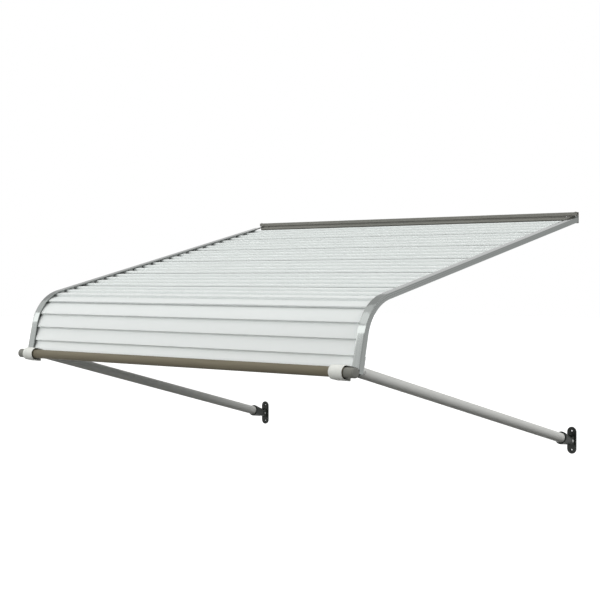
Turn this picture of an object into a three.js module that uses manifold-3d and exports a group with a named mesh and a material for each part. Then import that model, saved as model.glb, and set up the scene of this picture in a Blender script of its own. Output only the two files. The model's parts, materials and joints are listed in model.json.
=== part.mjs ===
import * as THREE from 'three';
import { mergeVertices } from 'three/addons/utils/BufferGeometryUtils.js';
import Module from 'manifold-3d';

// A door canopy. Seven white roof panels of roll-formed sheet hook one into the next, follow a gentle slope
// and then a bend into a short front drop. Their ends sit in two bent channels, the side arms. A header rail
// holds the top edge on the wall, two tube struts carry the lower edge, and a round bar runs along its front.
// Sizes are in millimetres. X runs along the wall, -Y points away from it and Z is up. The origin lies on the
// wall face of the header rail, at the height of the roof's top edge.

const wasm = await Module();
wasm.setup();
const degrees = THREE.MathUtils.degToRad;

// Fits
const seatGap = 0.3;
const holePlay = 0.3;

// Roof line: the path that the panels and the side arms follow, from the wall to the lower edge
const canopyWidth = 1220;
const roofStandoff = 9.7;
const slopeAngle = degrees(13.77);
const dropAngle = degrees(77.8);
const bendRadius = 109.4;
const flutesBeforeBend = 22.45;
const bendSteps = 16;

// Roof panels: four stepped flutes each, recessed at the uphill side and proud at the downhill side
const panelCount = 7;
const flutesPerPanel = 4;
const flutePitch = 37.8;
const fluteRecess = 2;
const fluteCrest = 5;
const fluteSwell = 1.3;
const fluteSteps = 6;
const noseRadius = 1.6;
const noseSteps = 3;
const sheetThickness = 0.8;
const tongueLength = 11;
const tongueHook = 3;
const lipLength = 6;
const seamGap = 0.8;
const foldSteps = 2;
const topEdgeReach = 2;
const panelEndGap = 7.9;

// Side arms: a channel with a lipped top flange, a web on the outside and a narrower bottom flange
const armFlange = 23.4;
const armReturn = 20;
const armWeb = 1.6;
const armTopThickness = 2.2;
const armLipDrop = 0.9;
const armLipWidth = 1.8;
const armCrestGap = 0.7;
const armBaseGap = 0.6;
const armBaseThickness = 1.4;
const armCorner = 0.8;
const armTail = 3;
const armEndGap = 0.5;
const armShoulderGap = 2;
const armTongue = 2;
const armTongueInset = 1;
const armGrooveWidth = 1.2;
const armGrooveDepth = 0.15;
const armTopGrooves = [6.5, 16];
const armSideGrooves = [4.2, 9.4];

// Header rail: a hollow extrusion with a grooved front, a lip over the roof and a ledge under it
const headerInset = 10;
const headerTop = 21;
const headerFoot = 9;
const headerPlate = 2.5;
const headerDepth = 9;
const headerWall = 2;
const headerCorner = 1;
const headerBand = 9;
const grooveDepth = 3.5;
const grooveHeight = 4.5;
const grooveSlant = 0.8;
const lipReach = 18.5;
const lipNose = 3.6;
const lipRound = 1.4;
const slotHeadroom = 1.8;
const slotReach = 7.3;
const slotBackGap = 0.8;
const ledgeReach = 6.5;
const ledgeThickness = 1.8;
const ledgeGap = 0.6;
const notchGap = 0.4;
const wallHoleRadius = 2.4;
const wallHoleInset = 38;
const wallHoleHeight = 9.6;

// Corner screws that hold the header's ends to the side arms
const cornerScrewRadius = 2.1;
const cornerScrewInset = 6;
const cornerScrewSetback = 5.6;
const cornerScrewBite = 3;
const cornerHeadRadius = 3;
const cornerHeadTop = 2.3;
const cornerHeadHeight = 1;

// Front bar and its end plugs
const barRadius = 12;
const barWall = 1.5;
const barOverhang = 1;
const barStandoff = 24.85;
const barDrop = 3.7;
const plugStem = 14;
const plugRim = 1.2;
const plugDome = 2.6;
const plugDomeSteps = 5;

// Clips round the bar, with a bush in each and a rivet into the lowest panel
const clipRadius = 17;
const clipWall = 1.6;
const clipLength = 39.5;
const clipInset = 44.5;
const clipSteps = 16;
const bushInset = 6;
const clipRivetRise = 6.5;

// Rivets of the clips and brackets
const rivetRadius = 2;
const rivetHeadRadius = 3.8;
const rivetHeadTop = 1.9;
const rivetHeadHeight = 1.4;
const rivetTailRadius = 2.8;
const rivetTailHeight = 2;

// Support struts
const strutInset = 28;
const strutRadius = 13.3;
const strutWall = 1.8;
const strutNose = 8;
const pivotSetback = 27.4;
const pivotRise = 5;

// Brackets behind the arms' lower ends, with a tongue in each strut's forked end, and the pivot bolts
const bracketThickness = 2.5;
const bracketTop = 38;
const bracketBottom = 2;
const bracketEdge = 1;
const forkTongue = 4;
const forkTongueRadius = 8;
const forkTongueSteps = 10;
const forkGap = 0.4;
const forkDepth = 12;
const bracketRivetMargin = 8;
const bracketRivetInset = 5.4;
const boltRadius = 3;
const boltHeadRadius = 5;
const boltHeadTop = 3.4;
const boltHeadHeight = 1.5;
const boltTail = 2;
const nutRadius = 5.6;
const nutHeight = 5;

// Sockets on the struts' wall ends
const socketLength = 46.5;
const socketBore = 30;
const socketFloor = 4.5;
const socketMouthRadius = 17.5;
const socketRim = 5;
const socketNeckRadius = 13;
const tongueThickness = 8;
const tongueRadius = 9.4;

// Wall feet: oblong plates with a knuckle of two ears and a pin
const footHeight = 603;
const footPinStandoff = 15;
const footPlateWidth = 28;
const footPlateHeight = 74;
const footPlateThickness = 5;
const footEdge = 1.2;
const footHoleSpacing = 52;
const footHoleRadius = 2.4;
const footSinkRadius = 4.2;
const footSinkDepth = 1.5;
const footEarThickness = 5.5;
const footEarRadius = 10;
const footEarBase = 28;
const footEarGap = 0.4;
const footEarSteps = 10;
const pinRadius = 3;
const pinHeadRadius = 4.6;
const pinHeadTop = 3.2;
const pinHeadHeight = 2.2;
const pinTail = 1.5;

// Facets of round pieces
const tubeFacets = 28;
const screwFacets = 14;
const hexagon = 6;

// Derived places
const halfWidth = canopyWidth / 2;
const slopeLength = flutesBeforeBend * flutePitch;
const bendLength = bendRadius * (dropAngle - slopeAngle);
const roofLength = panelCount * flutesPerPanel * flutePitch;
const panelHalf = halfWidth - armWeb - panelEndGap;
const armLipBottom = fluteCrest + armCrestGap;
const armUnderside = armLipBottom + armLipDrop;
const armTop = armUnderside + armTopThickness;
const armBaseTop = -(fluteRecess + sheetThickness + armBaseGap);
const armBottom = armBaseTop - armBaseThickness;
const armEndY = roofStandoff - headerPlate - armEndGap;
const armReach = (armEndY + armUnderside * Math.sin(slopeAngle)) / Math.cos(slopeAngle);
const armShoulder = lipReach + armShoulderGap;
const clipBase = fluteCrest + seatGap;
const headerHalf = halfWidth - headerInset;
const strutX = halfWidth - strutInset;

// Angle of the roof line below level
function roofAngle(s) {
  return slopeAngle + THREE.MathUtils.clamp((s - slopeLength) / bendRadius, 0, dropAngle - slopeAngle);
}

// A point of the roof's cross-section: s runs along the roof line, offset is its height above that line
function roofPoint(s, offset) {
  const angle = roofAngle(s);
  const onSlope = Math.min(s, slopeLength);
  const onDrop = Math.max(s - slopeLength - bendLength, 0);
  const y = -roofStandoff - onSlope * Math.cos(slopeAngle)
    - bendRadius * (Math.sin(angle) - Math.sin(slopeAngle)) - onDrop * Math.cos(dropAngle);
  const z = -onSlope * Math.sin(slopeAngle)
    - bendRadius * (Math.cos(slopeAngle) - Math.cos(angle)) - onDrop * Math.sin(dropAngle);
  return new THREE.Vector2(y - offset * Math.sin(angle), z + offset * Math.cos(angle));
}

// Height at a given y of a line that runs parallel to the slope at an offset from the roof line
function slopeHeight(y, offset) {
  return (y + roofStandoff) * Math.tan(slopeAngle) + offset / Math.cos(slopeAngle);
}

// The roof line as a curve to sweep a section along, with small steps only round the bend
class RoofLine extends THREE.Curve {
  constructor(start, end) {
    super();
    this.stations = [start];
    for (let i = 0; i <= bendSteps; i += 1) {
      this.stations.push(slopeLength + bendLength * i / bendSteps);
    }
    this.stations.push(end);
  }

  get steps() {
    return this.stations.length - 1;
  }

  stationAt(t) {
    const place = t * this.steps;
    const index = Math.min(Math.floor(place), this.steps - 1);
    return THREE.MathUtils.lerp(this.stations[index], this.stations[index + 1], place - index);
  }

  getUtoTmapping(u) {
    return u;
  }

  getPoint(t) {
    const point = roofPoint(this.stationAt(t), 0);
    return new THREE.Vector3(0, point.x, point.y);
  }

  getTangent(t) {
    const angle = roofAngle(this.stationAt(t));
    return new THREE.Vector3(0, -Math.cos(angle), -Math.sin(angle));
  }
}

// Materials
function finish(color, roughness, metalness) {
  return new THREE.MeshStandardMaterial({ color, roughness, metalness });
}
const whitePaint = finish(0xdfe3e2, 0.45, 0);
const millAluminium = finish(0xa9aeac, 0.38, 1);
const darkAluminium = finish(0x6f716a, 0.42, 1);
const satinTube = finish(0x8f918a, 0.4, 1);
const whitePlastic = finish(0xdcdcd8, 0.5, 0);
const blackPlastic = finish(0x23262a, 0.5, 0);
const greyPlastic = finish(0x7f837f, 0.55, 0);
const zincSteel = finish(0x9a9c9c, 0.4, 1);

const canopy = new THREE.Group();

function addMesh(name, geometry, material, parent = canopy) {
  const mesh = new THREE.Mesh(geometry, material);
  mesh.name = name;
  parent.add(mesh);
  return mesh;
}

// Joins and cuts
function toSolid(geometry) {
  const bare = geometry.clone();
  bare.deleteAttribute('normal');
  bare.deleteAttribute('uv');
  const merged = mergeVertices(bare);
  return new wasm.Manifold(new wasm.Mesh({
    numProp: 3,
    vertProperties: new Float32Array(merged.attributes.position.array),
    triVerts: new Uint32Array(merged.index.array),
  }));
}

function toGeometry(solid) {
  const mesh = solid.getMesh();
  const geometry = new THREE.BufferGeometry();
  geometry.setAttribute('position', new THREE.BufferAttribute(mesh.vertProperties, 3));
  geometry.setIndex(new THREE.BufferAttribute(mesh.triVerts, 1));
  geometry.computeVertexNormals();
  return geometry;
}

function cut(geometry, tools) {
  return toGeometry(tools.reduce((body, tool) => body.subtract(toSolid(tool)), toSolid(geometry)));
}

function join(...geometries) {
  const [first, ...rest] = geometries.map(toSolid);
  return toGeometry(rest.reduce((body, other) => body.add(other), first));
}

// A section drawn in the YZ plane and extruded along X between two values, in either order
function extrudeX(outline, fromX, toX, hole = null) {
  const clockwise = THREE.ShapeUtils.isClockWise(outline);
  const shape = new THREE.Shape(clockwise ? [...outline].reverse() : outline);
  if (hole) {
    shape.holes.push(new THREE.Path(hole));
  }
  const depth = Math.abs(toX - fromX);
  const geometry = new THREE.ExtrudeGeometry(shape, { depth, bevelEnabled: false, steps: 1 });
  const turn = new THREE.Matrix4().makeBasis(
    new THREE.Vector3(0, 1, 0), new THREE.Vector3(0, 0, 1), new THREE.Vector3(1, 0, 0));
  return geometry.applyMatrix4(turn).translate(Math.min(fromX, toX), 0, 0);
}

// A turned piece: profile points are (radius, place along the axis), and the axis is Y
function turned(profile, facets) {
  return new THREE.LatheGeometry(profile.map(([radius, along]) => new THREE.Vector2(radius, along)), facets);
}

// A round tube along Y
function tube(radius, wall, start, end) {
  const inner = radius - wall;
  return turned([[inner, start], [radius, start], [radius, end], [inner, end], [inner, start]], tubeFacets);
}

// A drill along X, Y or Z, centred on the given point
function drill(axis, radius, length, centre, facets = screwFacets) {
  const geometry = new THREE.CylinderGeometry(radius, radius, length, facets);
  if (axis === 'x') {
    geometry.rotateZ(Math.PI / 2);
  } else if (axis === 'z') {
    geometry.rotateX(Math.PI / 2);
  }
  return geometry.translate(centre.x, centre.y, centre.z);
}

// A drill square to the drop at the given x and s, from one offset to another
function dropDrill(x, s, from, to) {
  const place = roofPoint(s, (from + to) / 2);
  const radius = rivetRadius + holePlay;
  const geometry = new THREE.CylinderGeometry(radius, radius, Math.abs(to - from), screwFacets);
  geometry.rotateX(Math.PI / 2 + dropAngle);
  return geometry.translate(x, place.x, place.y);
}

// A rivet square to the drop. It grips from one offset to another, and its head is at the second one
function dropRivet(name, x, s, gripTail, gripHead) {
  const sign = Math.sign(gripHead - gripTail);
  const tail = gripTail - sign * seatGap;
  const head = gripHead + sign * seatGap;
  const profile = [
    [0, tail - sign * rivetTailHeight],
    [rivetTailRadius, tail - sign * rivetTailHeight],
    [rivetTailRadius, tail],
    [rivetRadius, tail],
    [rivetRadius, head],
    [rivetHeadRadius, head],
    [rivetHeadTop, head + sign * rivetHeadHeight],
    [0, head + sign * rivetHeadHeight],
  ];
  const mesh = addMesh(name, turned(sign > 0 ? profile : profile.reverse(), screwFacets), millAluminium);
  const place = roofPoint(s, 0);
  mesh.position.set(x, place.x, place.y);
  mesh.rotation.x = Math.PI / 2 + dropAngle;
}

// Folded sheet: an open line in the (s, offset) plane thickened on its right-hand side
function foldedSheet(line, thickness) {
  const under = line.map((point, i) => {
    const before = i > 0 ? point.clone().sub(line[i - 1]).normalize() : null;
    const after = i < line.length - 1 ? line[i + 1].clone().sub(point).normalize() : null;
    const normalBefore = before ? new THREE.Vector2(before.y, -before.x) : null;
    const normalAfter = after ? new THREE.Vector2(after.y, -after.x) : null;
    const first = normalBefore ?? normalAfter;
    const second = normalAfter ?? normalBefore;
    const mitre = first.clone().add(second).divideScalar(1 + first.dot(second));
    return point.clone().addScaledVector(mitre, thickness);
  });
  return [...line, ...under.reverse()];
}

// Points that split a straight fold so that it follows the bend
function foldLine(from, to, steps) {
  const points = [];
  for (let i = 1; i <= steps; i += 1) {
    points.push(from.clone().lerp(to, i / steps));
  }
  return points;
}

// Height of a flute's top side at a share t of its length, up to where its nose begins
function fluteHeight(t) {
  return (1 - (1 - t) ** fluteSwell) * (fluteRecess + fluteCrest) - fluteRecess;
}

// Top side of one roof panel: a hooked tongue under the panel above, four flutes, a riser and a lip
function panelLine(index) {
  const start = index * flutesPerPanel * flutePitch;
  const reach = index > 0 ? tongueLength : topEdgeReach;
  const tongueEnd = new THREE.Vector2(start - reach, -fluteRecess);
  const line = [];
  if (index > 0) {
    line.push(new THREE.Vector2(tongueEnd.x, tongueHook - fluteRecess));
  }
  line.push(tongueEnd);
  line.push(...foldLine(tongueEnd, new THREE.Vector2(start, -fluteRecess), foldSteps));
  for (let flute = 0; flute < flutesPerPanel; flute += 1) {
    const top = start + flute * flutePitch;
    for (let i = 1; i <= fluteSteps; i += 1) {
      const t = i / fluteSteps;
      line.push(new THREE.Vector2(top + t * (flutePitch - noseRadius), fluteHeight(t)));
    }
    for (let i = 1; i <= noseSteps; i += 1) {
      const angle = Math.PI / 2 * i / noseSteps;
      const along = top + flutePitch - noseRadius * (1 - Math.sin(angle));
      line.push(new THREE.Vector2(along, fluteCrest - noseRadius * (1 - Math.cos(angle))));
    }
    const last = flute === flutesPerPanel - 1;
    const foot = new THREE.Vector2(top + flutePitch, last ? seamGap - fluteRecess : -fluteRecess);
    line.push(foot);
    if (last) {
      line.push(...foldLine(foot, new THREE.Vector2(foot.x - lipLength, foot.y), foldSteps));
    }
  }
  return line;
}

const clipX = halfWidth - clipInset;
const clipRivetS = roofLength - clipRivetRise;
const clipRivetTail = flutePitch - clipRivetRise - rivetTailRadius;
const clipRivetGrip = fluteHeight(clipRivetTail / (flutePitch - noseRadius)) - sheetThickness;

for (let index = 0; index < panelCount; index += 1) {
  const outline = foldedSheet(panelLine(index), sheetThickness).map((point) => roofPoint(point.x, point.y));
  let panel = extrudeX(outline, -panelHalf, panelHalf);
  if (index === panelCount - 1) {
    panel = cut(panel, [-1, 1].map((side) => dropDrill(side * clipX, clipRivetS, 0, 2 * fluteCrest)));
  }
  addMesh(`roof_panel_${index + 1}`, panel, whitePaint);
}

// Header rail
const grooveFace = headerDepth - grooveDepth;
const bandBottom = headerTop - headerBand;
const grooveTop = bandBottom - grooveSlant;
const grooveBottom = grooveTop - grooveHeight;
const ledgeTop = -(fluteRecess + sheetThickness + ledgeGap);
const slotBack = -(topEdgeReach + slotBackGap);
const slotMouth = roofPoint(slotReach, slotHeadroom);
const noseBottom = slotMouth.y + lipRound;
const noseTop = noseBottom + lipNose;
const hollowBottom = bandBottom + headerWall;
const flat = (y, z) => new THREE.Vector2(y, z);

const headerOutline = [
  flat(0, -headerFoot),
  flat(-headerPlate, -headerFoot),
  flat(-headerPlate, slopeHeight(-headerPlate, ledgeTop - ledgeThickness)),
  roofPoint(ledgeReach, ledgeTop - ledgeThickness),
  roofPoint(ledgeReach, ledgeTop),
  roofPoint(slotBack, ledgeTop),
  roofPoint(slotBack, slotHeadroom),
  slotMouth,
  flat(-lipReach, noseBottom),
  flat(-lipReach, noseTop),
  flat(-lipReach + lipRound, noseTop + lipRound),
  flat(-grooveFace, grooveBottom),
  flat(-grooveFace, grooveTop),
  flat(-headerDepth, bandBottom),
  flat(-headerDepth, headerTop - headerCorner),
  flat(-headerDepth + headerCorner, headerTop),
  flat(0, headerTop),
];
const headerHollow = [
  flat(-headerPlate, hollowBottom),
  flat(headerWall - headerDepth, hollowBottom),
  flat(headerWall - headerDepth, headerTop - headerWall),
  flat(-headerPlate, headerTop - headerWall),
];
const wallHoles = [-1, 0, 1].map((side) => drill('y', wallHoleRadius, 4 * headerDepth, {
  x: side * (headerHalf - wallHoleInset), y: 0, z: wallHoleHeight }));
const cornerScrewX = headerHalf - cornerScrewInset;
const cornerHoles = [-1, 1].map((side) => drill('z', cornerScrewRadius + holePlay, 4 * headerTop, {
  x: side * cornerScrewX, y: -cornerScrewSetback, z: 0 }));

// A block between two places from the wall, under a top side that runs parallel to the slope
function slopedBlock(fromX, toX, back, front, topOffset) {
  const bottomOffset = topOffset - 2 * headerTop;
  return extrudeX([
    flat(-back, slopeHeight(-back, topOffset)),
    flat(-front, slopeHeight(-front, topOffset)),
    flat(-front, slopeHeight(-front, bottomOffset)),
    flat(-back, slopeHeight(-back, bottomOffset)),
  ], fromX, toX);
}

const notchInside = halfWidth - armFlange - notchGap;
const endNotches = [-1, 1].map((side) => slopedBlock(
  side * notchInside, side * 2 * halfWidth, headerPlate, 2 * lipReach, armTop + notchGap));
const headerBody = extrudeX(headerOutline, -headerHalf, headerHalf, headerHollow);
addMesh('header_rail', cut(headerBody, [...wallHoles, ...cornerHoles, ...endNotches]), darkAluminium);

// Fine V lines along an arm's face: toPoint takes a place across the face and a depth into it
function grooved(places, toPoint) {
  return places.flatMap((place) => [
    toPoint(place - armGrooveWidth / 2, 0),
    toPoint(place, armGrooveDepth),
    toPoint(place + armGrooveWidth / 2, 0),
  ]);
}

// Section of an arm as (distance in from the outer face, offset from the roof line)
const armSection = [
  [0, armBottom],
  ...grooved(armSideGrooves, (place, depth) => [depth, armBottom + place]),
  [0, armTop - armCorner],
  [armCorner, armTop],
  ...grooved(armTopGrooves, (place, depth) => [place, armTop - depth]),
  [armFlange - armCorner, armTop],
  [armFlange, armTop - armCorner],
  [armFlange, armLipBottom],
  [armFlange - armLipWidth, armLipBottom],
  [armFlange - armLipWidth, armUnderside],
  [armWeb, armUnderside],
  [armWeb, armBaseTop],
  [armReturn, armBaseTop],
  [armReturn, armBottom],
];
const armLine = new RoofLine(-armReach, roofLength + armTail);
const bracketRivets = [
  ['upper', roofLength - bracketTop + bracketRivetMargin],
  ['lower', roofLength - bracketBottom - bracketRivetMargin],
];
const bracketRivetX = halfWidth - bracketRivetInset;

// Arm: only a tongue of its top flange runs on under the header to the wall
function sideArm(side) {
  const section = armSection.map(
    ([inset, offset]) => new THREE.Vector2(-side * (halfWidth - inset), -offset));
  const body = new THREE.ExtrudeGeometry(new THREE.Shape(section), {
    steps: armLine.steps, extrudePath: armLine, bevelEnabled: false });
  const holes = bracketRivets.map(([, s]) => dropDrill(side * bracketRivetX, s, 0, 2 * armBottom));
  const corner = drill('z', cornerScrewRadius + holePlay, 2 * armTop, {
    x: side * cornerScrewX, y: -cornerScrewSetback, z: armTop + armUnderside });
  const outside = side * 2 * halfWidth;
  const underTongue = slopedBlock(0, outside, 0, armShoulder, armTop - armTongue);
  const besideTongue = slopedBlock(side * (headerHalf - armTongueInset), outside, 0, armShoulder, 2 * armTop);
  return cut(body, [...holes, corner, underTongue, besideTongue]);
}

// Corner screw: a pan head on the header, its shank through the header's end and the arm's top flange
function cornerScrew(name, side) {
  const tip = slopeHeight(-cornerScrewSetback, armUnderside) - cornerScrewBite;
  const head = headerTop + seatGap;
  const profile = [
    [0, tip],
    [cornerScrewRadius, tip],
    [cornerScrewRadius, head],
    [cornerHeadRadius, head],
    [cornerHeadTop, head + cornerHeadHeight],
    [0, head + cornerHeadHeight],
  ];
  const geometry = turned(profile, screwFacets).rotateX(Math.PI / 2);
  addMesh(name, geometry, zincSteel).position.set(side * cornerScrewX, -cornerScrewSetback, 0);
}

// Front bar and its end plugs, along X
const barCentre = roofPoint(roofLength + barDrop, barStandoff);
const barHalf = halfWidth + barOverhang;
const bar = new THREE.Group();
bar.position.set(0, barCentre.x, barCentre.y);
bar.rotation.z = -Math.PI / 2;
canopy.add(bar);
addMesh('front_bar', tube(barRadius, barWall, -barHalf, barHalf), satinTube, bar);

function plugProfile() {
  const stem = barRadius - barWall - seatGap;
  const profile = [[0, -plugStem], [stem, -plugStem], [stem, seatGap], [barRadius, seatGap]];
  for (let i = 0; i <= plugDomeSteps; i += 1) {
    const angle = Math.PI / 2 * i / plugDomeSteps;
    profile.push([barRadius * Math.cos(angle), seatGap + plugRim + plugDome * Math.sin(angle)]);
  }
  profile[profile.length - 1][0] = 0;
  return profile;
}

// Clips and bushes
function clipOutline(radius, base) {
  const across = [[barDrop - radius, base]];
  for (let i = 0; i <= clipSteps; i += 1) {
    const angle = Math.PI * i / clipSteps;
    across.push([barDrop - radius * Math.cos(angle), barStandoff + radius * Math.sin(angle)]);
  }
  across.push([barDrop + radius, base]);
  return across.map(([along, offset]) => roofPoint(roofLength + along, offset));
}

function barClip(side) {
  const body = extrudeX(
    clipOutline(clipRadius, clipBase), side * clipX - clipLength / 2, side * clipX + clipLength / 2,
    clipOutline(clipRadius - clipWall, clipBase + clipWall));
  return cut(body, [dropDrill(side * clipX, clipRivetS, 0, clipBase + 2 * clipWall)]);
}

function barBush() {
  const outer = clipRadius - clipWall - seatGap;
  const half = clipLength / 2 - bushInset;
  return tube(outer, outer - barRadius - seatGap, -half, half);
}

// Bracket behind an arm: a foot on the arm's bottom flange and a tongue in the strut's forked end
const pivotS = roofLength - pivotRise;
const pivot = roofPoint(pivotS, -pivotSetback);
const bracketFace = armBottom - seatGap;

function strutBracket(side) {
  const top = roofLength - bracketTop;
  const bottom = roofLength - bracketBottom;
  const back = bracketFace - bracketThickness;
  const tongue = [roofPoint(top, bracketFace), roofPoint(bottom, bracketFace)];
  const foot = [...tongue, roofPoint(bottom, back), roofPoint(top, back)];
  for (let i = 0; i <= forkTongueSteps; i += 1) {
    const angle = Math.PI * i / forkTongueSteps;
    const along = pivotS + forkTongueRadius * Math.cos(angle);
    tongue.push(roofPoint(along, -pivotSetback - forkTongueRadius * Math.sin(angle)));
  }
  const tongueX = strutX - forkTongue / 2;
  const footX = halfWidth - bracketEdge;
  const body = join(
    extrudeX(foot, side * tongueX, side * footX),
    extrudeX(tongue, side * tongueX, side * (tongueX + forkTongue)));
  const holes = bracketRivets.map(([, s]) => dropDrill(side * bracketRivetX, s, 0, back - bracketThickness));
  const bolt = drill('x', boltRadius + holePlay, 4 * forkTongue, {
    x: side * strutX, y: pivot.x, z: pivot.y });
  return cut(body, [...holes, bolt]);
}

// Pivot bolt through the strut's fork and the tongue: a low head outside, a nut on the inner side
function strutBolt(side) {
  const face = strutRadius + seatGap;
  const end = -face - nutHeight - boltTail;
  const profile = [
    [0, end],
    [boltRadius, end],
    [boltRadius, face],
    [boltHeadRadius, face],
    [boltHeadTop, face + boltHeadHeight],
    [0, face + boltHeadHeight],
  ];
  return turned(profile, screwFacets).rotateZ(-side * Math.PI / 2).translate(side * strutX, 0, 0);
}

function strutNut(side) {
  const face = strutX - strutRadius - seatGap;
  const centre = { x: side * (face - nutHeight / 2), y: 0, z: 0 };
  const hole = drill('x', boltRadius + holePlay, 2 * nutHeight, centre);
  return cut(drill('x', nutRadius, nutHeight, centre, hexagon), [hole]);
}

// Strut, along its own Y from the pivot bolt to the knuckle pin, with a fork cut into its front end
const footPin = new THREE.Vector2(-footPinStandoff, -footHeight);
const strutVector = footPin.clone().sub(pivot);
const strutLength = strutVector.length();
const socketStart = strutLength - socketLength;
const boreEnd = socketStart + socketBore;

function strutTube() {
  const body = tube(strutRadius, strutWall, -strutNose, boreEnd - seatGap);
  const bolt = drill('x', boltRadius + holePlay, 4 * strutRadius, { x: 0, y: 0, z: 0 });
  const slotLength = 2 * (forkDepth + strutNose);
  const slot = new THREE.BoxGeometry(forkTongue + 2 * forkGap, slotLength, 4 * strutRadius)
    .translate(0, forkDepth - slotLength / 2, 0);
  return cut(body, [bolt, slot]);
}

function strutSocket() {
  const bore = strutRadius + seatGap;
  const cup = turned([
    [0, boreEnd],
    [bore, boreEnd],
    [bore, socketStart],
    [socketMouthRadius, socketStart],
    [socketMouthRadius, socketStart + socketRim],
    [socketNeckRadius, boreEnd + socketFloor],
    [0, boreEnd + socketFloor],
  ], tubeFacets);
  const tongue = [flat(boreEnd + socketFloor / 2, tongueRadius)];
  tongue.push(flat(boreEnd + socketFloor / 2, -tongueRadius));
  for (let i = 0; i <= footEarSteps; i += 1) {
    const angle = Math.PI * (i / footEarSteps - 0.5);
    tongue.push(flat(strutLength + tongueRadius * Math.cos(angle), tongueRadius * Math.sin(angle)));
  }
  const body = join(cup, extrudeX(tongue, -tongueThickness / 2, tongueThickness / 2));
  return cut(body, [drill('x', pinRadius + holePlay, 2 * tongueThickness, { x: 0, y: strutLength, z: 0 })]);
}

// Wall foot, centred on its pin
function wallFoot() {
  const width = footPlateWidth / 2 - footEdge;
  const rise = footPlateHeight / 2 - footPlateWidth / 2;
  const outline = new THREE.Shape();
  outline.absarc(0, rise, width, 0, Math.PI, false);
  outline.absarc(0, -rise, width, Math.PI, 2 * Math.PI, false);
  const plate = new THREE.ExtrudeGeometry(outline, {
    depth: footPlateThickness - 2 * footEdge, curveSegments: 10, steps: 1,
    bevelEnabled: true, bevelThickness: footEdge, bevelSize: footEdge, bevelSegments: 2 });
  plate.rotateX(Math.PI / 2).translate(0, footPinStandoff - footEdge, 0);
  const plateFront = footPinStandoff - footPlateThickness;
  const ear = [flat(plateFront + footEdge, -footEarBase / 2), flat(plateFront + footEdge, footEarBase / 2)];
  for (let i = 0; i <= footEarSteps; i += 1) {
    const angle = Math.PI * (0.5 + i / footEarSteps);
    ear.push(flat(footEarRadius * Math.cos(angle), footEarRadius * Math.sin(angle)));
  }
  const earStart = tongueThickness / 2 + footEarGap;
  const ears = [-1, 1].map((side) => extrudeX(ear, side * earStart, side * (earStart + footEarThickness)));
  const tools = [drill('x', pinRadius + holePlay, 4 * (earStart + footEarThickness), { x: 0, y: 0, z: 0 })];
  for (const end of [-1, 1]) {
    const z = end * footHoleSpacing / 2;
    tools.push(drill('y', footHoleRadius, 4 * footPlateThickness, { x: 0, y: plateFront, z }));
    const sink = new THREE.CylinderGeometry(footHoleRadius, footSinkRadius, footSinkDepth, screwFacets);
    tools.push(sink.translate(0, plateFront + footSinkDepth / 2, z));
  }
  return cut(join(plate, ...ears), tools);
}

function footPinBody(side) {
  const face = tongueThickness / 2 + footEarGap + footEarThickness + seatGap;
  const profile = [
    [0, -face - pinTail],
    [pinRadius, -face - pinTail],
    [pinRadius, face],
    [pinHeadRadius, face],
    [pinHeadTop, face + pinHeadHeight],
    [0, face + pinHeadHeight],
  ];
  return turned(profile, screwFacets).rotateZ(-side * Math.PI / 2);
}

for (const [label, side] of [['left', -1], ['right', 1]]) {
  addMesh(`side_arm_${label}`, sideArm(side), millAluminium);
  cornerScrew(`corner_screw_${label}`, side);

  const plug = addMesh(`bar_plug_${label}`, turned(plugProfile(), tubeFacets), greyPlastic, bar);
  plug.position.y = side * barHalf;
  plug.rotation.x = side > 0 ? 0 : Math.PI;
  const bush = addMesh(`bar_bush_${label}`, barBush(), blackPlastic);
  bush.position.set(side * clipX, barCentre.x, barCentre.y);
  bush.rotation.z = -Math.PI / 2;
  addMesh(`bar_clip_${label}`, barClip(side), whitePlastic);
  dropRivet(`clip_rivet_${label}`, side * clipX, clipRivetS, clipRivetGrip, clipBase + clipWall);

  addMesh(`strut_bracket_${label}`, strutBracket(side), millAluminium);
  for (const [place, s] of bracketRivets) {
    const name = `bracket_rivet_${label}_${place}`;
    dropRivet(name, side * bracketRivetX, s, armBaseTop, bracketFace - bracketThickness);
  }
  for (const [name, body] of [['strut_bolt', strutBolt(side)], ['strut_nut', strutNut(side)]]) {
    addMesh(`${name}_${label}`, body, zincSteel).position.set(0, pivot.x, pivot.y);
  }

  const strut = new THREE.Group();
  strut.position.set(side * strutX, pivot.x, pivot.y);
  strut.rotation.x = Math.atan2(strutVector.y, strutVector.x);
  canopy.add(strut);
  addMesh(`support_strut_${label}`, strutTube(), satinTube, strut);
  addMesh(`strut_socket_${label}`, strutSocket(), blackPlastic, strut);

  const foot = new THREE.Group();
  foot.position.set(side * strutX, footPin.x, footPin.y);
  canopy.add(foot);
  addMesh(`wall_foot_${label}`, wallFoot(), blackPlastic, foot);
  addMesh(`foot_pin_${label}`, footPinBody(side), zincSteel, foot);
}

export default canopy;
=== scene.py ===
"""Looks of a wall-hung aluminium door canopy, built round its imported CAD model. Sizes are in metres."""
import json
import math

import bmesh
import bpy
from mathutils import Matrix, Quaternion, Vector

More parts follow.
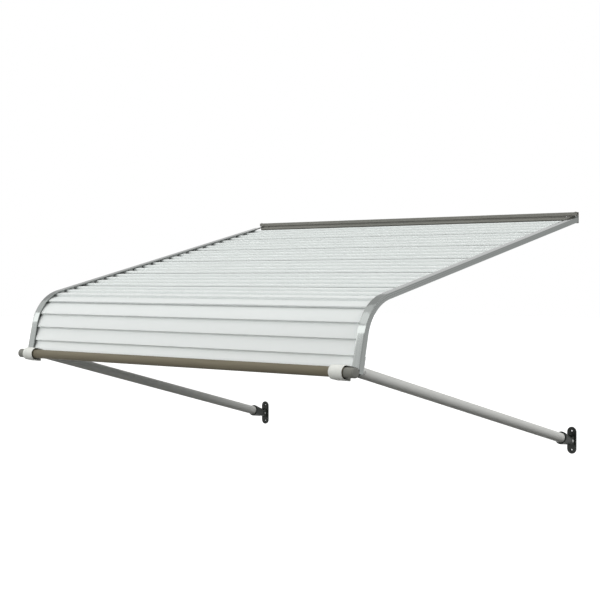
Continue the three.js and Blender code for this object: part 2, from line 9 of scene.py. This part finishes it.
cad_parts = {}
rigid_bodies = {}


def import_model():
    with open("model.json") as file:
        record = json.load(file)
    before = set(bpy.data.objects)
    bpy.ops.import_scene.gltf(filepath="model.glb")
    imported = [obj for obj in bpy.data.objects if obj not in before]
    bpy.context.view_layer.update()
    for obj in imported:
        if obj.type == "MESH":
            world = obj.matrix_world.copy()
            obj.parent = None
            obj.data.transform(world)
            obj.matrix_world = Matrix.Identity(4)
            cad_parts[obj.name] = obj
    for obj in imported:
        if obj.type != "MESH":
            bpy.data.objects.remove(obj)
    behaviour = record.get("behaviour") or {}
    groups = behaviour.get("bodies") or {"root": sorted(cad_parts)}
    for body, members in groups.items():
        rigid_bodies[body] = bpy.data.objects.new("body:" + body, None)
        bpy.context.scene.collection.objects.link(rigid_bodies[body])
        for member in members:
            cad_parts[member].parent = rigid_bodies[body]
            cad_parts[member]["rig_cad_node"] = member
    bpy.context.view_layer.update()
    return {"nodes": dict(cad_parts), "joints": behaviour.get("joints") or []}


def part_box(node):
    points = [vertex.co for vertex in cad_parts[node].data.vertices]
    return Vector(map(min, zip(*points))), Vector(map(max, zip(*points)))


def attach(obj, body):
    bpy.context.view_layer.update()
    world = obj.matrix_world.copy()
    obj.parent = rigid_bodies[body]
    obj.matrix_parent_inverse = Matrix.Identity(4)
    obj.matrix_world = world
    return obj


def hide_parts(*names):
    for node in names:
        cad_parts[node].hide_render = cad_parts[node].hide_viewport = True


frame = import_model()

SIDES = {"left": -1, "right": 1}

# Roof line, as in the CAD part: a slope, a bend and a short drop
ROOF_STANDOFF = 0.0097
SLOPE_ANGLE = math.radians(13.77)
DROP_ANGLE = math.radians(77.8)
BEND_RADIUS = 0.1094
FLUTE_PITCH = 0.0378
SLOPE_FLUTES = 22.45
PANEL_COUNT = 7
FLUTES_PER_PANEL = 4
BEND_STEPS = 40

# Roof panels
FLUTE_RECESS = 0.002
FLUTE_CREST = 0.005
FLUTE_SWELL = 1.3
FLUTE_STEPS = 14
NOSE_RADIUS = 0.0013
NOSE_STEPS = 6
SHEET_THICKNESS = 0.0008
TONGUE_LENGTH = 0.011
TONGUE_HOOK = 0.003
LIP_LENGTH = 0.006
SEAM_GAP = 0.001
BEND_SEAM_GAP = 0.0022
BEND_SEAM_RISE = 0.0045
TOP_EDGE_REACH = 0.002

# Side arms: distances in from the outer face, and offsets from the roof line
ARM_FLANGE = 0.0234
ARM_RETURN = 0.020
ARM_WEB = 0.0016
ARM_TOP = 0.0088
ARM_UNDERSIDE = 0.0066
ARM_LIP_BOTTOM = 0.0057
ARM_LIP_WIDTH = 0.0018
ARM_BASE_TOP = -0.0034
ARM_BOTTOM = -0.0048
ARM_TAIL = 0.003
ARM_SHOULDER = 0.0205
ARM_TONGUE = 0.002
ARM_TONGUE_INSET = 0.001
ARM_EDGE = 0.0004
ARM_GROOVE_WIDTH = 0.0012
ARM_GROOVE_DEPTH = 0.00005
ARM_TOP_GROOVES = (0.0065, 0.016)
ARM_SIDE_GROOVES = (0.0042, 0.0094)

# Round pieces
TUBE_FACETS = 72
TUBE_EDGE = 0.0004
BAR_WALL = 0.0015
STRUT_RADIUS = 0.0133
STRUT_WALL = 0.0018
STRUT_NOSE = 0.008
FORK_WIDTH = 0.0048
FORK_DEPTH = 0.012
SOCKET_DEPTH = 0.0168

# Clips round the bar
CLIP_RADIUS = 0.017
CLIP_WALL = 0.0016
CLIP_BASE = 0.0053
CLIP_DROP = 0.0037
CLIP_STANDOFF = 0.02485
CLIP_STEPS = 40

# Edges: rounding of corners in sections, and bevels of finished pieces
ROUND_STEPS = 3
ROUND_SHARE = 0.45
SHARP_ANGLE = math.radians(35)
BEVEL_ANGLE = math.radians(32)
BEVEL_SEGMENTS = 2
BEVEL_WEIGHT = 80
FLAT_ANGLE = math.radians(0.5)
WELD_DISTANCE = 1e-6
RIVET_EDGE = 0.0002
SCREW_EDGE = 0.0003
SHEET_EDGE = 0.0004
CLIP_EDGE = 0.0006
MOULDED_EDGE = 0.0007

# Finishes: the noises that colour, roughness and relief follow
FINE_DETAIL = 4.0
BROAD_SCALE = 7.0
BROAD_DETAIL = 2.0
RELIEF_DEPTH = 0.0002

# Stage: a pale floor at a door's height below, and a white surround that lights things less than it shows
FLOOR_HEIGHT = -2.3
FLOOR_HALF = 60.0
FLOOR_COLOUR = (0.5, 0.5, 0.5)
FLOOR_SHADE = (0.05, 0.05, 0.045)
FLOOR_LIFT = 0.85
FLOOR_ROUGHNESS = 0.9
SKY_AT_HORIZON = 0.32
SKY_OVERHEAD = 0.74
SKY_SEEN = 1.0
WHITE = (1, 1, 1, 1)

# Camera at the photograph's angle
CAMERA_PLACE = (2.6015, -3.3186, -0.1570)
CAMERA_DIP = math.radians(0.928)
CAMERA_TURN = math.radians(42.403)
CAMERA_LENS_MM = 83.573
CAMERA_SENSOR_MM = 36.0

# Derived places
half_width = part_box("side_arm_right")[1].x
panel_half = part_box("roof_panel_1")[1].x
header_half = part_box("header_rail")[1].x
clip_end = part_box("bar_clip_right")[1].x
slope_length = SLOPE_FLUTES * FLUTE_PITCH
bend_length = BEND_RADIUS * (DROP_ANGLE - SLOPE_ANGLE)
roof_length = PANEL_COUNT * FLUTES_PER_PANEL * FLUTE_PITCH
joint_places = {joint["child"]: Vector(joint["pos_m"]) for joint in frame["joints"]}


def roof_angle(s):
    """Angle of the roof line below level at a distance s along it."""
    return SLOPE_ANGLE + min(max((s - slope_length) / BEND_RADIUS, 0), DROP_ANGLE - SLOPE_ANGLE)


def roof_point(s, offset):
    """(y, z) of a point at s along the roof line and at a height above it."""
    angle = roof_angle(s)
    on_slope = min(s, slope_length)
    on_drop = max(s - slope_length - bend_length, 0)
    y = -ROOF_STANDOFF - on_slope * math.cos(SLOPE_ANGLE)
    y -= BEND_RADIUS * (math.sin(angle) - math.sin(SLOPE_ANGLE)) + on_drop * math.cos(DROP_ANGLE)
    z = -on_slope * math.sin(SLOPE_ANGLE)
    z -= BEND_RADIUS * (math.cos(SLOPE_ANGLE) - math.cos(angle)) + on_drop * math.sin(DROP_ANGLE)
    return y - offset * math.sin(angle), z + offset * math.cos(angle)


def slope_height(y, offset):
    """Height at a given y of a line that runs parallel to the slope at an offset from the roof line."""
    return (y + ROOF_STANDOFF) * math.tan(SLOPE_ANGLE) + offset / math.cos(SLOPE_ANGLE)


# Mesh helpers


def smooth_sides(mesh):
    """Turns the normals outward, and smooths every edge but the sharp ones."""
    work = bmesh.new()
    work.from_mesh(mesh)
    bmesh.ops.recalc_face_normals(work, faces=work.faces)
    for face in work.faces:
        face.smooth = True
    for edge in work.edges:
        edge.smooth = len(edge.link_faces) == 2 and edge.calc_face_angle(0) < SHARP_ANGLE
    work.to_mesh(mesh)
    work.free()


def add_piece(name, points, faces, uvs=None):
    """A mesh object from points and faces, with outward normals, smooth sides and sharp edges."""
    mesh = bpy.data.meshes.new(name)
    mesh.from_pydata([tuple(point) for point in points], [], faces)
    if uvs:
        layer = mesh.uv_layers.new(name="UVMap")
        for loop in mesh.loops:
            layer.data[loop.index].uv = uvs[loop.vertex_index]
    smooth_sides(mesh)
    piece = bpy.data.objects.new(name, mesh)
    bpy.context.scene.collection.objects.link(piece)
    return piece


def ring_faces(loops, points, closed_along=False):
    """Quads between neighbouring closed loops that have the same number of points."""
    faces = []
    last = loops if closed_along else loops - 1
    for i in range(last):
        first = i * points
        second = (i + 1) % loops * points
        for j in range(points):
            k = (j + 1) % points
            faces.append((first + j, first + k, second + k, second + j))
    return faces


def rounded(outline, radius):
    """A closed outline with every corner rounded, by less where its sides are short."""
    result = []
    for i, corner in enumerate(outline):
        corner = Vector(corner)
        before = Vector(outline[i - 1]) - corner
        after = Vector(outline[(i + 1) % len(outline)]) - corner
        reach = min(radius, before.length * ROUND_SHARE, after.length * ROUND_SHARE)
        start = corner + before.normalized() * reach
        end = corner + after.normalized() * reach
        for step in range(ROUND_STEPS + 1):
            t = step / ROUND_STEPS
            result.append(start * (1 - t) ** 2 + corner * 2 * t * (1 - t) + end * t ** 2)
    return result


def prism(name, outline, from_x, to_x):
    """A solid along X with a section of (y, z) points."""
    rows = [(x, y, z) for x in (from_x, to_x) for y, z in outline]
    count = len(outline)
    ends = [tuple(range(count)), tuple(range(count, 2 * count))]
    return add_piece(name, rows, ends + ring_faces(2, count))


def cut_away(piece, tool):
    """Cuts a tool's shape out of a piece for good, and removes the tool."""
    cut = piece.modifiers.new("cut", "BOOLEAN")
    cut.operation = "DIFFERENCE"
    cut.solver = "EXACT"
    cut.object = tool
    result = piece.evaluated_get(bpy.context.evaluated_depsgraph_get())
    mesh = bpy.data.meshes.new_from_object(result)
    piece.modifiers.clear()
    piece.data = mesh
    smooth_sides(mesh)
    bpy.data.objects.remove(tool)


def lathe(name, profile, place, axis):
    """A turned piece: a closed profile of (radius, distance along the axis), set at a place on an axis."""
    axis = Vector(axis).normalized()
    across = axis.orthogonal().normalized()
    beside = axis.cross(across)
    rows = []
    uvs = []
    for facet in range(TUBE_FACETS):
        share = facet / TUBE_FACETS
        angle = 2 * math.pi * share
        spoke = across * math.cos(angle) + beside * math.sin(angle)
        for radius, along in profile:
            rows.append(place + axis * along + spoke * radius)
            uvs.append((along, share))
    return add_piece(name, rows, ring_faces(TUBE_FACETS, len(profile), closed_along=True), uvs)


def tube_profile(radius, wall, start, end):
    """Section of a tube's wall with slightly rounded ends."""
    inner = radius - wall
    section = [(inner, start), (radius, start), (radius, end), (inner, end)]
    return [tuple(point) for point in rounded(section, TUBE_EDGE)]


def fillet(piece, width):
    """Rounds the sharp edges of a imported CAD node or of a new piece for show."""
    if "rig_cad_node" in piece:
        piece.modifiers.new("weld", "WELD").merge_threshold = WELD_DISTANCE
        flat = piece.modifiers.new("flat", "DECIMATE")
        flat.decimate_type = "DISSOLVE"
        flat.angle_limit = FLAT_ANGLE
        for polygon in piece.data.polygons:
            polygon.use_smooth = True
    bevel = piece.modifiers.new("edges", "BEVEL")
    bevel.limit_method = "ANGLE"
    bevel.angle_limit = BEVEL_ANGLE
    bevel.width = width
    bevel.segments = BEVEL_SEGMENTS
    bevel.use_clamp_overlap = True
    normals = piece.modifiers.new("normals", "WEIGHTED_NORMAL")
    normals.weight = BEVEL_WEIGHT
    normals.keep_sharp = True
    return piece


# Materials


def node_adder(tree):
    """A function that adds a node to a tree, with its settings and with values or links for its inputs."""
    def node(kind, inputs=None, **settings):
        made = tree.nodes.new(kind)
        for key, value in settings.items():
            setattr(made, key, value)
        for key, value in (inputs or {}).items():
            if isinstance(value, bpy.types.NodeSocket):
                tree.links.new(value, made.inputs[key])
            else:
                made.inputs[key].default_value = value
        return made

    return node


def new_material(name):
    """A node material, its Principled shader, and the functions that add and link its nodes."""
    material = bpy.data.materials.new(name)
    material.use_nodes = True
    tree = material.node_tree
    return material, tree.nodes["Principled BSDF"], node_adder(tree), tree.links


def mottled(node, source, dark, light, low=0.35, high=0.65):
    """A colour that goes from one value to another as its source rises."""
    ramp = node("ShaderNodeValToRGB", {"Fac": source})
    ramp.color_ramp.elements[0].position = low
    ramp.color_ramp.elements[0].color = (*dark, 1)
    ramp.color_ramp.elements[1].position = high
    ramp.color_ramp.elements[1].color = (*light, 1)
    return ramp.outputs["Color"]


def ranged(node, source, low, high):
    """A number that goes from one value to another as its source goes from 0 to 1."""
    made = node("ShaderNodeMapRange", {"Value": source, "To Min": low, "To Max": high})
    return made.outputs["Result"]


def surface(name, dark, light, roughness, metallic=0.0, grain=(30, 30, 30), bump=0.02, use_uv=False,
            specular=0.5, edge_shine=1.0, ends=None):
    """A finish whose colour, roughness and fine relief follow a broad noise and one of a given grain.

    A long piece can have ends of another colour, given as how far from its middle they begin and that colour.
    """
    material, shader, node, links = new_material(name)
    coordinates = node("ShaderNodeTexCoord").outputs["UV" if use_uv else "Object"]
    mapping = node("ShaderNodeMapping", {"Vector": coordinates, "Scale": grain}).outputs["Vector"]
    fine_inputs = {"Vector": mapping, "Scale": 1.0, "Detail": FINE_DETAIL}
    fine = node("ShaderNodeTexNoise", fine_inputs).outputs["Fac"]
    broad_inputs = {"Vector": coordinates, "Scale": BROAD_SCALE, "Detail": BROAD_DETAIL}
    broad = node("ShaderNodeTexNoise", broad_inputs).outputs["Fac"]
    total = node("ShaderNodeMath", {0: fine, 1: broad}, operation="ADD").outputs[0]
    mean = node("ShaderNodeMath", {0: total, 1: 0.5}, operation="MULTIPLY").outputs[0]
    colour = mottled(node, mean, dark, light)
    if ends:
        begin, tone = ends
        along = node("ShaderNodeSeparateXYZ", {"Vector": coordinates}).outputs["X"]
        away = node("ShaderNodeMath", {0: along}, operation="ABSOLUTE").outputs[0]
        beyond = node("ShaderNodeMath", {0: away, 1: begin}, operation="GREATER_THAN").outputs[0]
        mix = node("ShaderNodeMixRGB", {"Fac": beyond, "Color1": colour, "Color2": (*tone, 1)})
        colour = mix.outputs["Color"]
    links.new(colour, shader.inputs["Base Color"])
    links.new(ranged(node, fine, *roughness), shader.inputs["Roughness"])
    relief = node("ShaderNodeBump", {"Height": fine, "Strength": bump, "Distance": RELIEF_DEPTH})
    links.new(relief.outputs["Normal"], shader.inputs["Normal"])
    shader.inputs["Metallic"].default_value = metallic
    shader.inputs["Specular IOR Level"].default_value = specular
    shader.inputs["Specular Tint"].default_value = (edge_shine, edge_shine, edge_shine, 1)
    return material


white_enamel = surface("white_enamel", (0.685, 0.715, 0.702), (0.70, 0.728, 0.716), (0.40, 0.46),
                       grain=(40, 40, 40), bump=0.004)
arm_metal = surface("arm_metal", (0.235, 0.248, 0.241), (0.25, 0.263, 0.256), (0.08, 0.12), metallic=1.0,
                    grain=(3, 900, 1), bump=0.0005, use_uv=True, edge_shine=0.75)
header_metal = surface("header_metal", (0.15, 0.15, 0.132), (0.18, 0.178, 0.158), (0.45, 0.55),
                       grain=(2, 300, 300), bump=0.01, specular=0.3)
bar_metal = surface("bar_metal", (0.16, 0.143, 0.103), (0.2, 0.18, 0.13), (0.45, 0.55),
                    grain=(3, 400, 1), bump=0.01, use_uv=True, specular=0.04,
                    ends=(clip_end, (0.21, 0.212, 0.19)))
strut_metal = surface("strut_metal", (0.64, 0.645, 0.62), (0.68, 0.685, 0.66), (0.45, 0.55),
                      grain=(3, 300, 1), bump=0.01, use_uv=True, specular=0.04)
mill_metal = surface("mill_metal", (0.27, 0.275, 0.27), (0.33, 0.335, 0.33), (0.28, 0.42), metallic=1.0,
                     grain=(200, 200, 200), bump=0.02)
zinc = surface("zinc", (0.22, 0.225, 0.22), (0.3, 0.3, 0.29), (0.3, 0.45), metallic=0.6,
               grain=(300, 300, 300))
white_plastic = surface("white_plastic", (0.68, 0.69, 0.645), (0.74, 0.75, 0.71), (0.42, 0.55),
                        grain=(250, 250, 250), specular=0.1)
grey_plastic = surface("grey_plastic", (0.19, 0.192, 0.175), (0.22, 0.222, 0.205), (0.45, 0.6),
                       grain=(250, 250, 250), specular=0.1)
dark_rubber = surface("dark_rubber", (0.012, 0.013, 0.012), (0.025, 0.026, 0.024), (0.6, 0.8),
                      grain=(300, 300, 300), bump=0.05)
black_plastic = surface("black_plastic", (0.006, 0.008, 0.006), (0.013, 0.016, 0.012), (0.38, 0.5),
                        grain=(350, 350, 350), bump=0.03, specular=0.25)


def dress(piece, material, body="root", replaced=None):
    """Gives a new piece its material and the body that it rides on, and hides the CAD node that it stands
    for.
    """
    piece.data.materials.append(material)
    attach(piece, body)
    if replaced:
        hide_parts(replaced)
    return piece


# Roof panels


def flute_height(t):
    """Height of a flute's top side at a share of its length, up to its nose."""
    return (1 - (1 - t) ** FLUTE_SWELL) * (FLUTE_RECESS + FLUTE_CREST) - FLUTE_RECESS


def is_bend_seam(flutes):
    """Whether the edge below a number of flutes is a seam that lies in the bend."""
    s = flutes * FLUTE_PITCH
    return flutes % FLUTES_PER_PANEL == 0 and slope_length < s < slope_length + bend_length


def flute_edge(flutes):
    """Distance along the roof line to the edge below a number of flutes."""
    return flutes * FLUTE_PITCH - (BEND_SEAM_RISE if is_bend_seam(flutes) else 0)


def panel_line(index):
    """Top side of a roof panel in the (s, offset) plane: a tongue, four flutes, a riser and a lip."""
    first = index * FLUTES_PER_PANEL
    start = flute_edge(first)
    reach = TONGUE_LENGTH if index else TOP_EDGE_REACH
    line = [(start - reach, TONGUE_HOOK - FLUTE_RECESS)] if index else []
    line += [(start - reach, -FLUTE_RECESS), (start - reach / 2, -FLUTE_RECESS), (start, -FLUTE_RECESS)]
    for flute in range(FLUTES_PER_PANEL):
        top = flute_edge(first + flute)
        bottom = flute_edge(first + flute + 1)
        for step in range(1, FLUTE_STEPS + 1):
            t = step / FLUTE_STEPS
            line.append((top + t * (bottom - NOSE_RADIUS - top), flute_height(t)))
        for step in range(1, NOSE_STEPS + 1):
            angle = math.pi / 2 * step / NOSE_STEPS
            line.append((bottom - NOSE_RADIUS * (1 - math.sin(angle)),
                         FLUTE_CREST - NOSE_RADIUS * (1 - math.cos(angle))))
        if flute < FLUTES_PER_PANEL - 1:
            line.append((bottom, -FLUTE_RECESS))
    lip = (BEND_SEAM_GAP if is_bend_seam(first + FLUTES_PER_PANEL) else SEAM_GAP) - FLUTE_RECESS
    line += [(bottom, lip), (bottom - LIP_LENGTH / 2, lip), (bottom - LIP_LENGTH, lip)]
    return [Vector(point) for point in line]


def folded_sheet(line, thickness):
    """The under side of an open line, point by point."""
    under = []
    for i, point in enumerate(line):
        before = (point - line[i - 1]).normalized() if i else None
        after = (line[i + 1] - point).normalized() if i < len(line) - 1 else None
        first = before or after
        second = after or before
        normals = [Vector((way.y, -way.x)) for way in (first, second)]
        mitre = (normals[0] + normals[1]) / (1 + normals[0].dot(normals[1]))
        under.append(point + mitre * thickness)
    return under


def roof_panel(index):
    """One folded sheet along X, with its section on the roof line."""
    line = panel_line(index)
    outline = line + folded_sheet(line, SHEET_THICKNESS)[::-1]
    rows = [(x, *roof_point(s, offset)) for x in (-panel_half, panel_half) for s, offset in outline]
    points = len(outline)
    faces = ring_faces(2, points)
    for first in (0, points):
        for j in range(points // 2 - 1):
            under = points - 1 - j
            faces.append((first + j, first + j + 1, first + under - 1, first + under))
    return add_piece(f"sheet_{index + 1}", rows, faces)


for index in range(PANEL_COUNT):
    dress(roof_panel(index), white_enamel, replaced=f"roof_panel_{index + 1}")


# Side arms


def grooved(places, to_point):
    """Points of fine V lines along an arm's face."""
    points = []
    for place in places:
        points.append(to_point(place - ARM_GROOVE_WIDTH / 2, 0))
        points.append(to_point(place, ARM_GROOVE_DEPTH))
        points.append(to_point(place + ARM_GROOVE_WIDTH / 2, 0))
    return points


def arm_section():
    """Closed section as (distance in from the outer face, offset from the roof line)."""
    return rounded([
        (0, ARM_BOTTOM),
        *grooved(ARM_SIDE_GROOVES, lambda place, depth: (depth, ARM_BOTTOM + place)),
        (0, ARM_TOP),
        *grooved(ARM_TOP_GROOVES, lambda place, depth: (place, ARM_TOP - depth)),
        (ARM_FLANGE, ARM_TOP),
        (ARM_FLANGE, ARM_LIP_BOTTOM),
        (ARM_FLANGE - ARM_LIP_WIDTH, ARM_LIP_BOTTOM),
        (ARM_FLANGE - ARM_LIP_WIDTH, ARM_UNDERSIDE),
        (ARM_WEB, ARM_UNDERSIDE),
        (ARM_WEB, ARM_BASE_TOP),
        (ARM_RETURN, ARM_BASE_TOP),
        (ARM_RETURN, ARM_BOTTOM),
    ], ARM_EDGE)


def arm_start(side):
    """Where the arm begins on the roof line, from the back of its CAD node."""
    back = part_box(f"side_arm_{side}")[1].y
    tongue_base = ARM_TOP - ARM_TONGUE
    return -(back + ROOF_STANDOFF + tongue_base * math.sin(SLOPE_ANGLE)) / math.cos(SLOPE_ANGLE)


def shoulder_block(from_x, to_x, top):
    """A block from the wall to the arm's shoulder, deeper than the arm, under a top parallel to the slope."""
    bottom = top - 4 * ARM_FLANGE
    corners = [(0, top), (-ARM_SHOULDER, top), (-ARM_SHOULDER, bottom), (0, bottom)]
    outline = [(y, slope_height(y, offset)) for y, offset in corners]
    return prism("shoulder_block", outline, from_x, to_x)


def cut_shoulder(arm, way):
    """Leaves only a tongue of the arm's top flange to run on under the header to the wall."""
    outside = way * 2 * half_width
    cut_away(arm, shoulder_block(0, outside, ARM_TOP - ARM_TONGUE))
    cut_away(arm, shoulder_block(way * (header_half - ARM_TONGUE_INSET), outside, 2 * ARM_TOP))


def side_arm(side):
    """The arm's section swept along the roof line, with small steps only round the bend."""
    section = arm_section()
    stations = [arm_start(side)]
    stations += [slope_length + bend_length * i / BEND_STEPS for i in range(BEND_STEPS + 1)]
    stations.append(roof_length + ARM_TAIL)
    rows = []
    uvs = []
    for s in stations:
        girth = 0
        for i, (inset, offset) in enumerate(section):
            rows.append((SIDES[side] * (half_width - inset), *roof_point(s, offset)))
            uvs.append((s, girth))
            girth += (section[(i + 1) % len(section)] - section[i]).length
    points = len(section)
    faces = ring_faces(len(stations), points)
    faces.append(tuple(range(points)))
    faces.append(tuple(range((len(stations) - 1) * points, len(stations) * points)))
    arm = add_piece(f"arm_channel_{side}", rows, faces, uvs)
    cut_shoulder(arm, SIDES[side])
    return arm


for side in SIDES:
    dress(side_arm(side), arm_metal, replaced=f"side_arm_{side}")


# Front bar and struts


def box_centre(node):
    """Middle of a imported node's box."""
    low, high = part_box(node)
    return (low + high) / 2


bar_low, bar_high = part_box("front_bar")
bar_radius = (bar_high.z - bar_low.z) / 2
bar_half = (bar_high.x - bar_low.x) / 2
bar_place = box_centre("front_bar")
bar = lathe("bar_tube", tube_profile(bar_radius, BAR_WALL, -bar_half, bar_half), bar_place, (1, 0, 0))
dress(bar, bar_metal, replaced="front_bar")


def cut_fork(strut, pivot, way):
    """Slots a strut's front end from above and below for the bracket's tongue."""
    front = -2 * STRUT_NOSE
    rise = Vector((1, 0, 0)).cross(way) * 2 * STRUT_RADIUS
    corners = [pivot + way * front - rise, pivot + way * FORK_DEPTH - rise,
               pivot + way * FORK_DEPTH + rise, pivot + way * front + rise]
    outline = [(corner.y, corner.z) for corner in corners]
    cut_away(strut, prism("fork_slot", outline, pivot.x - FORK_WIDTH / 2, pivot.x + FORK_WIDTH / 2))


for side in SIDES:
    pivot = joint_places[f"strut_{side}"]
    run = joint_places[f"foot_{side}"] - pivot
    profile = tube_profile(STRUT_RADIUS, STRUT_WALL, -STRUT_NOSE, run.length - SOCKET_DEPTH)
    strut = lathe(f"strut_tube_{side}", profile, pivot, run)
    cut_fork(strut, pivot, run.normalized())
    dress(strut, strut_metal, f"strut_{side}", f"support_strut_{side}")


# Clips


def clip_loop(radius, base):
    """Half a ring round the bar, closed by a flat back on the panel."""
    points = [(CLIP_DROP - radius, base)]
    for step in range(CLIP_STEPS + 1):
        angle = math.pi * step / CLIP_STEPS
        points.append((CLIP_DROP - radius * math.cos(angle), CLIP_STANDOFF + radius * math.sin(angle)))
    points.append((CLIP_DROP + radius, base))
    return [roof_point(roof_length + along, offset) for along, offset in points]


def bar_clip(side):
    """A strap along X as wide as its CAD node, between an outer and an inner loop."""
    low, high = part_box(f"bar_clip_{side}")
    outer = clip_loop(CLIP_RADIUS, CLIP_BASE)
    inner = clip_loop(CLIP_RADIUS - CLIP_WALL, CLIP_BASE + CLIP_WALL)
    rows = []
    for loop, x in ((outer, low.x), (outer, high.x), (inner, high.x), (inner, low.x)):
        rows += [(x, y, z) for y, z in loop]
    return add_piece(f"clip_strap_{side}", rows, ring_faces(4, len(outer), closed_along=True))


for side in SIDES:
    clip = fillet(bar_clip(side), CLIP_EDGE)
    dress(clip, white_plastic, replaced=f"bar_clip_{side}")


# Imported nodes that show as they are, with softened edges and finishes


def finish_node(node, material, edge):
    """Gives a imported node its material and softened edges."""
    piece = frame["nodes"][node]
    piece.data.materials.clear()
    piece.data.materials.append(material)
    fillet(piece, edge)


finish_node("header_rail", header_metal, SHEET_EDGE)
for side in SIDES:
    finish_node(f"corner_screw_{side}", zinc, SCREW_EDGE)
    finish_node(f"bar_plug_{side}", grey_plastic, SCREW_EDGE)
    finish_node(f"bar_bush_{side}", dark_rubber, SHEET_EDGE)
    finish_node(f"clip_rivet_{side}", mill_metal, RIVET_EDGE)
    finish_node(f"strut_bracket_{side}", mill_metal, SHEET_EDGE)
    finish_node(f"bracket_rivet_{side}_upper", mill_metal, RIVET_EDGE)
    finish_node(f"bracket_rivet_{side}_lower", mill_metal, RIVET_EDGE)
    finish_node(f"strut_bolt_{side}", zinc, SCREW_EDGE)
    finish_node(f"strut_nut_{side}", zinc, SCREW_EDGE)
    finish_node(f"strut_socket_{side}", black_plastic, MOULDED_EDGE)
    finish_node(f"wall_foot_{side}", black_plastic, MOULDED_EDGE)
    finish_node(f"foot_pin_{side}", zinc, SCREW_EDGE)


# Floor, surround and soft light


def seen_rays(node):
    """1 for rays that show the surround, straight or reflected, and 0 for those that only give light."""
    path = node("ShaderNodeLightPath").outputs
    shine = node("ShaderNodeMath", {0: path["Is Camera Ray"], 1: path["Is Glossy Ray"]}, operation="MAXIMUM")
    both = node("ShaderNodeMath", {0: shine.outputs[0], 1: path["Is Transmission Ray"]}, operation="MAXIMUM")
    return both.outputs[0]


def floor_material():
    """Paint that shows as white and keeps shadows, and throws little light back up."""
    material, shader, node, links = new_material("floor_paint")
    shader.inputs["Roughness"].default_value = FLOOR_ROUGHNESS
    shader.inputs["Emission Color"].default_value = WHITE
    seen = seen_rays(node)
    links.new(mottled(node, seen, FLOOR_SHADE, FLOOR_COLOUR, 0, 1), shader.inputs["Base Color"])
    lift = node("ShaderNodeMath", {0: seen, 1: FLOOR_LIFT}, operation="MULTIPLY")
    links.new(lift.outputs[0], shader.inputs["Emission Strength"])
    return material


def add_floor():
    """A wide square floor below the canopy."""
    corners = ((-1, -1), (1, -1), (1, 1), (-1, 1))
    points = [(x * FLOOR_HALF, y * FLOOR_HALF, FLOOR_HEIGHT) for x, y in corners]
    floor = add_piece("floor", points, [(0, 1, 2, 3)])
    floor.data.materials.append(floor_material())


def add_world():
    """A surround that shows as white, and lights things more from above than from the horizon."""
    world = bpy.data.worlds.new("surround")
    bpy.context.scene.world = world
    world.use_nodes = True
    tree = world.node_tree
    node = node_adder(tree)
    direction = node("ShaderNodeTexCoord").outputs["Generated"]
    height = node("ShaderNodeSeparateXYZ", {"Vector": direction}).outputs["Z"]
    sky = ranged(node, height, SKY_AT_HORIZON, SKY_OVERHEAD)
    strength = ranged(node, seen_rays(node), sky, SKY_SEEN)
    background = tree.nodes["Background"]
    background.inputs["Color"].default_value = WHITE
    tree.links.new(strength, background.inputs["Strength"])


def add_softbox(name, place, target, size, watts, roll_degrees=0):
    """A rectangular lamp at a place, turned towards a target and rolled about that line."""
    lamp = bpy.data.lights.new(name, "AREA")
    lamp.shape = "RECTANGLE"
    lamp.size, lamp.size_y = size
    lamp.energy = watts
    holder = bpy.data.objects.new(name, lamp)
    holder.location = place
    aim = (Vector(target) - Vector(place)).to_track_quat("-Z", "Y")
    roll = Quaternion((0, 0, 1), math.radians(roll_degrees))
    holder.rotation_euler = (aim @ roll).to_euler()
    bpy.context.scene.collection.objects.link(holder)


def add_camera():
    """The camera that the scene is rendered with."""
    lens = bpy.data.cameras.new("camera")
    lens.sensor_width = CAMERA_SENSOR_MM
    lens.lens = CAMERA_LENS_MM
    camera = bpy.data.objects.new("camera", lens)
    camera.location = CAMERA_PLACE
    camera.rotation_euler = (math.pi / 2 - CAMERA_DIP, 0, CAMERA_TURN)
    bpy.context.scene.collection.objects.link(camera)
    bpy.context.scene.camera = camera


add_floor()
add_world()
add_softbox("side_softbox", place=(4.4, 0.4, 3.2), target=(0, -0.5, -0.2), size=(4.0, 4.0), watts=142)
add_softbox("fill_softbox", place=(-0.3, -8.5, 0.1), target=(0, -0.9, -0.3), size=(5.4, 3.4), watts=215)
add_softbox("front_softbox", place=(-3.2, -3.85, 1.62), target=(0, -0.9, -0.2), size=(3.6, 1.25), watts=27.6,
            roll_degrees=16)
add_softbox("left_softbox", place=(-3.4, -3.5, 2.5), target=(0, -3.4, 0.9), size=(5.4, 5.2), watts=58.2,
            roll_degrees=12)
add_softbox("upper_softbox", place=(-3.0, -3.2, 3.45), target=(0, -0.9, -0.2), size=(2.6, 1.7), watts=11.1)
add_softbox("back_softbox", place=(-3.4, 4.7, 2.45), target=(0.6, 0, 0), size=(3.4, 1.3), watts=5.5)
add_camera()
bpy.context.scene.view_settings.view_transform = "Standard"
